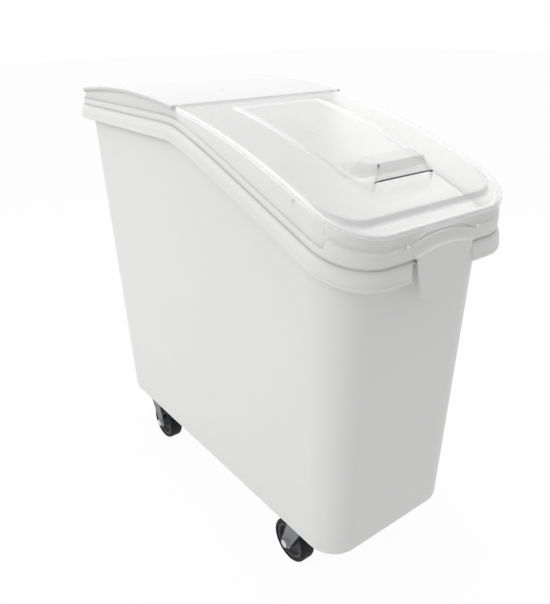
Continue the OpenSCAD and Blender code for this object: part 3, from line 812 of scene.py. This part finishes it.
LIP_EDGE = ((0.5, -2.0), (0.0, -1.4), (0.0, 1.6), (0.35, 2.6), (1.2, 3.4), (2.7, 3.8))
LIP_BORDER = ((5.0, 4.1), (8.0, 4.35), (12.0, LIP_UP))
rear_levels = [lid_ring(rear_outline, d, on_arch(up)) for d, up in LIP_EDGE + LIP_BORDER]
rear_lid, rear_rows = stacked_rings("rear_lid_shell", rear_levels, 16, 60, 24)
close_across(rear_lid, rear_rows, len(rear_levels) - 1, 24)
tidy(rear_lid, 50.0)
apply_modifier(rear_lid, "SOLIDIFY", thickness=SHEET * MM, offset=-1.0, use_even_offset=True)
tidy(rear_lid, 50.0, outward=False)
paint(rear_lid, lid_white, "rear_lid_body", "rear_lid")

# %% [markdown]
# ## The clear lid
#
# The clear lid repeats the rear lid's lip. Its middle is a raised plate: level with the border at the
# sides, but at the front it stands on a wall, and a flatter ledge runs from the wall's foot to the lip.


# %% Clear lid
PLATE_HALF = 146.0
PLATE_FRONT = -341.0
PLATE_REAR = -14.0
PLATE_FOOT = ((-3.5, 0.0), (-1.6, 0.0), (-0.8, 0.8), (-0.4, 2.6), (0.0, 6.4), (0.4, 8.0), (1.2, 8.8))


def clear_outline(inset):
    rear = HINGE_Y - 0.8 - inset * 0.35
    return (LID_HALF - inset, FRONT_Y + 4.0 + inset, rear, 69.0 - inset, 9.0 - inset * 0.3)


def plate_outline(inset):
    return (PLATE_HALF - inset, PLATE_FRONT + inset, PLATE_REAR - inset, 46.0 - inset, 24.0 - inset)


def plate_z(y):
    return arch(LIP_TOP, y)


def foot(up):
    """A level near the foot of the plate's wall, some height above the ledge."""
    return lambda x, y: plate_z(y) - ledge_drop(y) + min(up, ledge_drop(y) * up / 9.0)


clear_levels = [lid_ring(clear_outline, d, on_arch(up)) for d, up in LIP_EDGE]
clear_levels += [lid_ring(plate_outline, d, foot(up)) for d, up in PLATE_FOOT]
clear_levels += [lid_ring(plate_outline, d, on_arch(LIP_UP)) for d in (2.2, 6.0)]
clear_lid, clear_rows = stacked_rings("clear_lid_shell", clear_levels, 16, 96, 80)
close_across(clear_lid, clear_rows, len(clear_levels) - 1, 80)

# %% [markdown]
# ## The hood's shape
#
# The hood is a bulge with a low ridge along its sides and round its front corners, soft shoulders and
# a face that is cut off steeply above the finger gap. Its height over the plate is a rule of x and y,
# so that the hood's grid and the bulkhead under it agree.

# %% Hood height
HOOD_FRONT = -299.0
HOOD_BACK = -40.0
FACE_X = 53.5
SEAM = FACE_X + 0.6
CORNER_Y = -252.0
HOOD_LIP = 7.0
FACE_DEEP = 6.0
FACE_LEAN = 0.24
RECESS_DEPTH = 5.0
RECESS_FRONT = -338.0
RIDGE = ((-299.0, 4.0), (-285.0, 4.5), (-265.0, 5.0), (-235.0, 5.4))
RIDGE += ((-185.0, 5.0), (-110.0, 3.4), (-60.0, 1.2), (-40.0, 0.0))
CROWN = ((-299.0, 27.0), (-272.0, 23.5), (-240.0, 19.0), (-185.0, 13.0))
CROWN += ((-110.0, 6.4), (-60.0, 1.8), (-40.0, 0.0))


def along(table, y):
    for (y0, v0), (y1, v1) in zip(table, table[1:]):
        if y <= y1:
            t = min(max((y - y0) / (y1 - y0), 0.0), 1.0)
            return v0 + (v1 - v0) * t
    return table[-1][1]


def hood_side(y):
    """Half width of the hood behind its front corners."""
    return 82.0 + 2.0 * between(-40.0, -130.0, y) - 6.0 * between(-170.0, -250.0, y)


def rounding(t):
    """The curve of the hood's front corners, from 1 at t = 0 down to 0 at t = 1."""
    return (1.0 - t ** 1.7) ** 0.588


def hood_width(y):
    """Half width of the hood, with the start of its rounded front corners."""
    bend = min(max((-253.0 - y) / 46.0, 0.0), 0.5)
    return hood_side(y) - 24.5 * (1.0 - rounding(bend))


def recess(x, y):
    """Depth of the finger recess: full under the hood's lip, fading out toward the front."""
    return RECESS_DEPTH * between(RECESS_FRONT, -300.0, y) * (1.0 - between(44.0, 76.0, abs(x)))


def hood_front(away):
    """Front edge of the hood's plan: straight under the face, then a rounded corner."""
    if away < FACE_X + 0.3:
        return HOOD_FRONT
    t = min((away - FACE_X) / 29.5, 1.0)
    return CORNER_Y - 46.2 * rounding(t)


def hood_top(x, y):
    side = max(hood_width(y) - abs(x), 0.0)
    ridge = along(RIDGE, y)
    crown = along(CROWN, y)
    top = ridge + (crown - ridge) * between(0.0, 46.0 - 8.0 * between(-200.0, -290.0, y), side) ** 0.85
    return top * min(side / 3.5, 1.0) ** 0.6 - 0.6 * (1.0 - min(side, 1.0))


def hood_rise(x, y, away):
    """Height of the hood's skin above the plate; away is where the column starts at the front."""
    top = hood_top(x, y)
    deep = max(y - hood_front(away), 0.0)
    if away < FACE_X + 0.3:
        low = HOOD_LIP
        share = min(deep / FACE_DEEP, 1.0) ** 0.9
    else:
        reach = 8.0 + 18.0 * between(FACE_X, FACE_X + 18.0, away)
        foot_low = -0.5 - recess(x, y)
        low = foot_low + (min(top, 4.5) - foot_low) * min(deep / 1.5, 1.0)
        share = min(max(deep - 1.5, 0.0) / (reach - 1.5), 1.0) ** 0.85
    return top if top < low else low + (top - low) * share


# %% [markdown]
# ## Shaping the finger recess
#
# In front of the hood the plate sinks toward the finger gap. Three bisect cuts lay crisp edges where
# the plate ends under the hood, a rule moves the vertices of the recess down, and the faces under the
# hood are deleted. The open rear edge of the recess is then extruded up to the hood's skin as a
# bulkhead. Solidify gives the sheet its wall, and the steep faces round the plate's front get the
# fuller finish.

# %% Finger recess
GAP_BACK = -269.0
OPENING_X = 72.0
OPENING_REAR = -44.0
NEAR = 0.0001
CUTS = [((side * OPENING_X * MM, 0, 0), (1, 0, 0)) for side in (1, -1)]
CUTS += [((0, GAP_BACK * MM, 0), (0, 1, 0))]
for place, way in CUTS:
    pick(clear_lid)
    choose(clear_lid, lambda co: abs(co.x) < 0.1 and -0.35 < co.y < -0.03 and co.z > 0.58, "FACE")
    bpy.ops.mesh.bisect(plane_co=place, plane_no=way)
bpy.ops.object.mode_set(mode="OBJECT")
for vertex in clear_lid.data.vertices:
    x, y, z = vertex.co / MM
    if abs(x) < 80.0 and RECESS_FRONT < y < GAP_BACK + 0.1 and z > plate_z(y) - 0.5:
        vertex.co.z -= recess(x, y) * MM
choose(clear_lid, lambda co: abs(co.x) < OPENING_X * MM and GAP_BACK * MM < co.y < OPENING_REAR * MM, "FACE")
bpy.ops.mesh.delete(type="FACE")
sides_at = OPENING_X * MM + NEAR
choose(clear_lid, lambda co: abs(co.x) < sides_at and abs(co.y - GAP_BACK * MM) < 2 * NEAR, "EDGE")
bpy.ops.mesh.extrude_region_move(TRANSFORM_OT_translate={"value": (0, 0, 0.004)})
bpy.ops.object.mode_set(mode="OBJECT")
for vertex in clear_lid.data.vertices:
    if vertex.select:
        x = abs(vertex.co.x / MM)
        # The column of the hood that stands above this vertex, with the face's lean taken off.
        away = x / (1.0 - FACE_LEAN) if x < 41.0 else SEAM + 28.9 * (x - 41.0) / 37.0
        vertex.co.z = (plate_z(GAP_BACK) + max(hood_rise(x, GAP_BACK, away) - 1.5, 0.1)) * MM
tidy(clear_lid, 50.0)
apply_modifier(clear_lid, "SOLIDIFY", thickness=SHEET * MM, offset=-1.0, use_even_offset=True)
tidy(clear_lid, 50.0, outward=False)
paint(clear_lid, clear_sheet, "front_lid_body", "front_lid")
clear_lid.data.materials.append(clear_wall)
for face in clear_lid.data.polygons:
    x, y, z = face.center / MM
    steep = abs(face.normal.z) < 0.75 and abs(x) < 147.0 and y < -294.0
    in_wall = plate_z(y) - 13.0 < z < plate_z(y) - 0.6
    if steep and in_wall and (y < -330.0 or abs(x) > 100.0):
        face.material_index = 1

# %% [markdown]
# ## The hood
#
# A grid is laid over the hood's plan with its columns crowded at the face's ends and at the sides, and
# its rows crowded at the front, where the shape is steepest. The lip's edge and the small step at the
# face's left end get a near-black finish: painted shade, for the shadow of the finger gap and recess
# and for the darkness of a clear sheet seen edge-on.

# %% Hood
HOOD_SHEET = 1.6
HOOD_COLUMNS = (0.0, 8.0, 16.0, 24.0, 32.0, 38.0, 43.0, 47.0, 50.5, 53.5, 54.1, 57.0, 60.0)
HOOD_COLUMNS += (63.5, 67.0, 70.0, 73.0, 76.0, 78.0, 79.3, 80.2, 81.0, 81.8, 82.5, 83.0)
HOOD_ROWS = (0.0, 0.35, 1.2, 2.4, 3.4, 4.4, 5.2, 5.7, 6.1, 6.8, 8.0, 10.0, 14.0)
EVEN_ROWS = 48
EVEN_STEP = (HOOD_BACK - HOOD_FRONT - HOOD_ROWS[-1]) / EVEN_ROWS


def hood_point(column, row):
    away = HOOD_COLUMNS[abs(column)]
    side = math.copysign(1.0, column)
    if row < len(HOOD_ROWS):
        deep = HOOD_ROWS[row]
    else:
        deep = HOOD_ROWS[-1] + (row - len(HOOD_ROWS) + 1) * EVEN_STEP
    lean = 1.0 - FACE_LEAN * min(deep / FACE_DEEP, 1.0)
    front = hood_front(away)
    y = front + deep / (HOOD_BACK - HOOD_FRONT) * (HOOD_BACK - front)
    if away <= SEAM:
        x = away * lean
    else:
        outer = (away - SEAM) / (HOOD_COLUMNS[-1] - SEAM)
        x = SEAM * lean + (hood_side(y) - SEAM * lean) * outer
    return Vector((side * x, y, plate_z(y) + hood_rise(x, y, away))) * MM


HOOD_HALF = len(HOOD_COLUMNS) - 1
HOOD_LONG = len(HOOD_ROWS) - 1 + EVEN_ROWS
bpy.ops.object.select_all(action="DESELECT")
bpy.ops.mesh.primitive_grid_add(x_subdivisions=2 * HOOD_HALF, y_subdivisions=HOOD_LONG, size=2)
hood = fresh("hood")
hood.data.materials.append(clear_sheet)
hood.data.materials.append(painted_dark_edge)
# Painted shade: the lip's lower edge and the face's left step get the near-black finish.
for face in hood.data.polygons:
    column = abs(face.center.x * HOOD_HALF)
    row = (face.center.y + 1) / 2 * HOOD_LONG
    left_end = face.center.x < 0.0 and 9.0 < column < 10.0 and 3.0 < row < 9.0
    if (row < 1.0 and column < 9.0) or left_end:
        face.material_index = 1
for vertex in hood.data.vertices:
    column = round(vertex.co.x * HOOD_HALF)
    row = round((vertex.co.y + 1) / 2 * HOOD_LONG)
    vertex.co = hood_point(column, row)
tidy(hood, 45.0)
apply_modifier(hood, "SOLIDIFY", thickness=HOOD_SHEET * MM, offset=-1.0, use_even_offset=True)
tidy(hood, 45.0, outward=False)
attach(hood, "front_lid_body")
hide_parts("front_lid")
print("piece: hood faces:", len(hood.data.polygons))

# %% [markdown]
# ## The skirt
#
# Round the front a strip hangs from the lip over the tub's collar. It is cut away in an arch above the
# pull tab. Four rings make a closed band, and a bisect with fill cuts off the part behind the front.

# %% Skirt
SKIRT_DOWN = 17.0
SKIRT_FACE = 5.0
SKIRT_BACK = 7.6
CUT_HALF = 61.0
CUT_UP = 12.6


def skirt_low(x, y):
    z = arch(ARCH_R - SKIRT_DOWN, y)
    away = abs(x) / CUT_HALF
    if y > FRONT_Y + 12.0 or away > 1.0:
        return z
    return z + CUT_UP * between(1.0, 0.45, away) ** 0.8


def skirt_high(x, y):
    return arch(ARCH_R + 1.0, y)


skirt_levels = [ring(SKIRT_BACK, skirt_low), ring(SKIRT_FACE + 0.4, skirt_low)]
skirt_levels += [ring(SKIRT_FACE, lambda x, y: skirt_low(x, y) + 0.5)]
skirt_levels += [ring(SKIRT_FACE, skirt_high), ring(SKIRT_BACK, skirt_high)]
skirt, skirt_rows = stacked_rings("skirt", skirt_levels, 16, 60, 64)
pick(skirt)
bpy.ops.object.mode_set(mode="EDIT")
bpy.ops.mesh.select_mode(type="EDGE")
bpy.ops.mesh.select_all(action="DESELECT")
bpy.ops.object.mode_set(mode="OBJECT")
for edge in skirt.data.edges:
    ends = [skirt_rows[i] for i in edge.vertices]
    edge.select = ends in ([0, 0], [4, 4])
bpy.ops.object.mode_set(mode="EDIT")
bpy.ops.mesh.bridge_edge_loops()
cut_at = (0, PROUD_Y * MM, 0)
whole(bpy.ops.mesh.bisect, plane_co=cut_at, plane_no=(0, 1, 0), use_fill=True, clear_outer=True)
tidy(skirt, 40.0)
paint(skirt, clear_sheet, "front_lid_body", "front_lid")

# %% [markdown]
# ## Nubs and hinge ears
#
# Small turned shapes finish the bin: four snap nubs on the collar, and on each side of the hinge an
# ear of each lid and the head of the pin. A low disc on the rear lid is the mark of its moulding gate.

# %% Nubs and ears
GATE_X = -29.0
GATE_Y = 61.7
GATE_R = 1.6
NUB_R = 3.0
EAR_R = 2.2
PIN_Z = plate_z(HINGE_Y) - 1.4
PIN_SHARE = 0.62
REAR_EAR = (151.6, 158.0)
FRONT_EAR = (145.0, 151.3)
PIN_HEAD = (157.0, 159.2)


def nub(name, x, y, down):
    """A snap nub on the collar, some distance below the lids' arch."""
    place = Vector((x, y, arch(ARCH_R - down, max(y, FRONT_Y + 5.0)))) * MM
    bpy.ops.object.select_all(action="DESELECT")
    bpy.ops.mesh.primitive_uv_sphere_add(segments=24, ring_count=12, radius=NUB_R * MM, location=place)
    paint(tidy(fresh(name), 60.0), tub_white, "tub_body", "tub")


def ear(name, side, reach):
    """A short cylinder on the hinge's line, between two distances from the middle."""
    low, high = sorted(side * x for x in reach)
    place = ((low + high) / 2 * MM, HINGE_Y * MM, PIN_Z * MM)
    bpy.ops.object.select_all(action="DESELECT")
    bpy.ops.mesh.primitive_cylinder_add(
        vertices=40, radius=EAR_R * MM, depth=(high - low) * MM, location=place, rotation=(0, math.pi / 2, 0)
    )
    obj = fresh(name)
    soften(obj, 0.6)
    return tidy(obj, 40.0)


bpy.ops.object.select_all(action="DESELECT")
gate_place = (GATE_X * MM, GATE_Y * MM, 0)
bpy.ops.mesh.primitive_cylinder_add(vertices=32, radius=GATE_R * MM, depth=MM, location=gate_place)
gate = fresh("gate_mark")
gate.location.z = (arch(LIP_TOP, GATE_Y) - 0.3) * MM
paint(tidy(gate), plated, "rear_lid_body", "rear_lid")

for side, word in ((-1, "left"), (1, "right")):
    nub("front_nub_" + word, side * 64.0, FRONT_Y + 4.6, 16.5)
    nub("side_nub_" + word, side * 152.6, FRONT_Y + 105.0, 9.0)
    paint(ear("rear_ear_" + word, side, REAR_EAR), lid_white, "rear_lid_body", "rear_lid")
    paint(ear("front_ear_" + word, side, FRONT_EAR), clear_sheet, "front_lid_body", "front_lid")
    head = ear("hinge_pin_" + word, side, PIN_HEAD)
    pick(head)
    pin_middle = (0, HINGE_Y * MM, PIN_Z * MM)
    bpy.ops.transform.resize(value=(1, PIN_SHARE, PIN_SHARE), center_override=pin_middle)
    bpy.ops.object.transform_apply(location=True, rotation=True, scale=True)
    paint(head, pin_white, "rear_lid_body", "hinge_pins")

# %% [markdown]
# ## Finishes of the parts that stay
#
# The casters' parts are exact in the CAD model, so they stay as they are. They get their finishes, and
# a bevel modifier softens the edges of the larger ones. The nodes that a modelled piece replaces get a
# finish too, so that none is left bare.

# %% Finishes for the kept nodes
kept = {"tub": tub_white, "rear_lid": lid_white, "front_lid": clear_sheet, "hinge_pins": pin_white}
kept |= {"fork": plated, "wheel_core": core_grey, "tyre": tyre_black}
kept |= dict.fromkeys(("plate", "screws", "king_pin", "balls", "axle_bolt", "axle_nut", "sleeve"), zinc)
SOFT = {"tyre": 4.5, "fork": 0.7, "wheel_core": 0.6, "plate": 0.5, "axle_bolt": 0.5, "axle_nut": 0.5}
for name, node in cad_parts.items():
    kind = name if name in kept else name.rsplit("_", 1)[0]
    node.data.materials.clear()
    node.data.materials.append(kept[kind])
    if kind in SOFT:
        edge = node.modifiers.new("soft edge", "BEVEL")
        edge.width = SOFT[kind] * MM
        edge.segments = 4
        edge.limit_method = "ANGLE"
        edge.angle_limit = math.radians(50)
print("finished nodes:", len(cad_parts))

# %% [markdown]
# ## Floor and light
#
# The photograph is a studio cut-out on white. The floor is pale and partly shows itself as plain white
# to the camera, so that it keeps only a soft shadow. The world lights from all sides, a large lamp
# hangs overhead and another stands to the left, which leaves the front a little darker. Neither lamp
# shows in reflections, where the white studio shows instead.


# %% Floor
PLAIN_SHARE = 0.96


def floor_finish():
    finish = Finish("studio_floor")
    cloud = finish.noise(2.0, 2.0)
    tint = finish.mixed(cloud, (0.86, 0.86, 0.86, 1), (0.88, 0.88, 0.88, 1))
    lit = finish.surface(Base_Color=tint, Roughness=0.8)
    plain = finish.node("ShaderNodeEmission", {}, {"Color": (1, 1, 1, 1), "Strength": 1.0}).out("Emission")
    seen = finish.ray("Is Camera Ray").at_least(finish.ray("Is Glossy Ray"))
    seen = seen.at_least(finish.ray("Is Transmission Ray"))
    return finish.done(finish.blend(seen * PLAIN_SHARE, lit, plain))


bpy.ops.object.select_all(action="DESELECT")
bpy.ops.mesh.primitive_plane_add(size=30)
ground = fresh("floor")
ground.data.materials.append(floor_finish())


# %% World and lamps
WORLD_LIGHT = 0.52
world = bpy.data.worlds.new("studio")
bpy.context.scene.world = world
world.use_nodes = True
nodes = world.node_tree.nodes
nodes.clear()
light_path = nodes.new("ShaderNodeLightPath")
soft = nodes.new("ShaderNodeBackground")
soft.inputs["Color"].default_value = (1, 1, 1, 1)
soft.inputs["Strength"].default_value = WORLD_LIGHT
plain = nodes.new("ShaderNodeBackground")
plain.inputs["Color"].default_value = (1, 1, 1, 1)
plain.inputs["Strength"].default_value = 1.0
mixer = nodes.new("ShaderNodeMixShader")
output = nodes.new("ShaderNodeOutputWorld")
link = world.node_tree.links.new
seen = light_path.outputs["Is Camera Ray"]
for name in ("Is Glossy Ray", "Is Transmission Ray"):
    either = nodes.new("ShaderNodeMath")
    either.operation = "MAXIMUM"
    link(seen, either.inputs[0])
    link(light_path.outputs[name], either.inputs[1])
    seen = either.outputs[0]
link(seen, mixer.inputs[0])
link(soft.outputs[0], mixer.inputs[1])
link(plain.outputs[0], mixer.inputs[2])
link(mixer.outputs[0], output.inputs["Surface"])


def lamp(name, place, aim, size, power):
    data = bpy.data.lights.new(name, "AREA")
    data.shape = "RECTANGLE"
    data.size = size[0]
    data.size_y = size[1]
    data.energy = power
    obj = bpy.data.objects.new(name, data)
    bpy.context.scene.collection.objects.link(obj)
    way = Vector(aim) - Vector(place)
    obj.rotation_euler = way.to_track_quat("-Z", "Y").to_euler()
    obj.location = place
    obj.visible_glossy = False
    print("lamp:", name, power, "W")


lamp("overhead", (0.2, 0.4, 2.6), (0.0, 0.0, 0.4), (1.6, 1.6), 34)
lamp("left", (-2.3, 0.3, 1.7), (0.0, 0.0, 0.4), (1.4, 1.4), 18)
bpy.context.scene.view_settings.view_transform = "Standard"
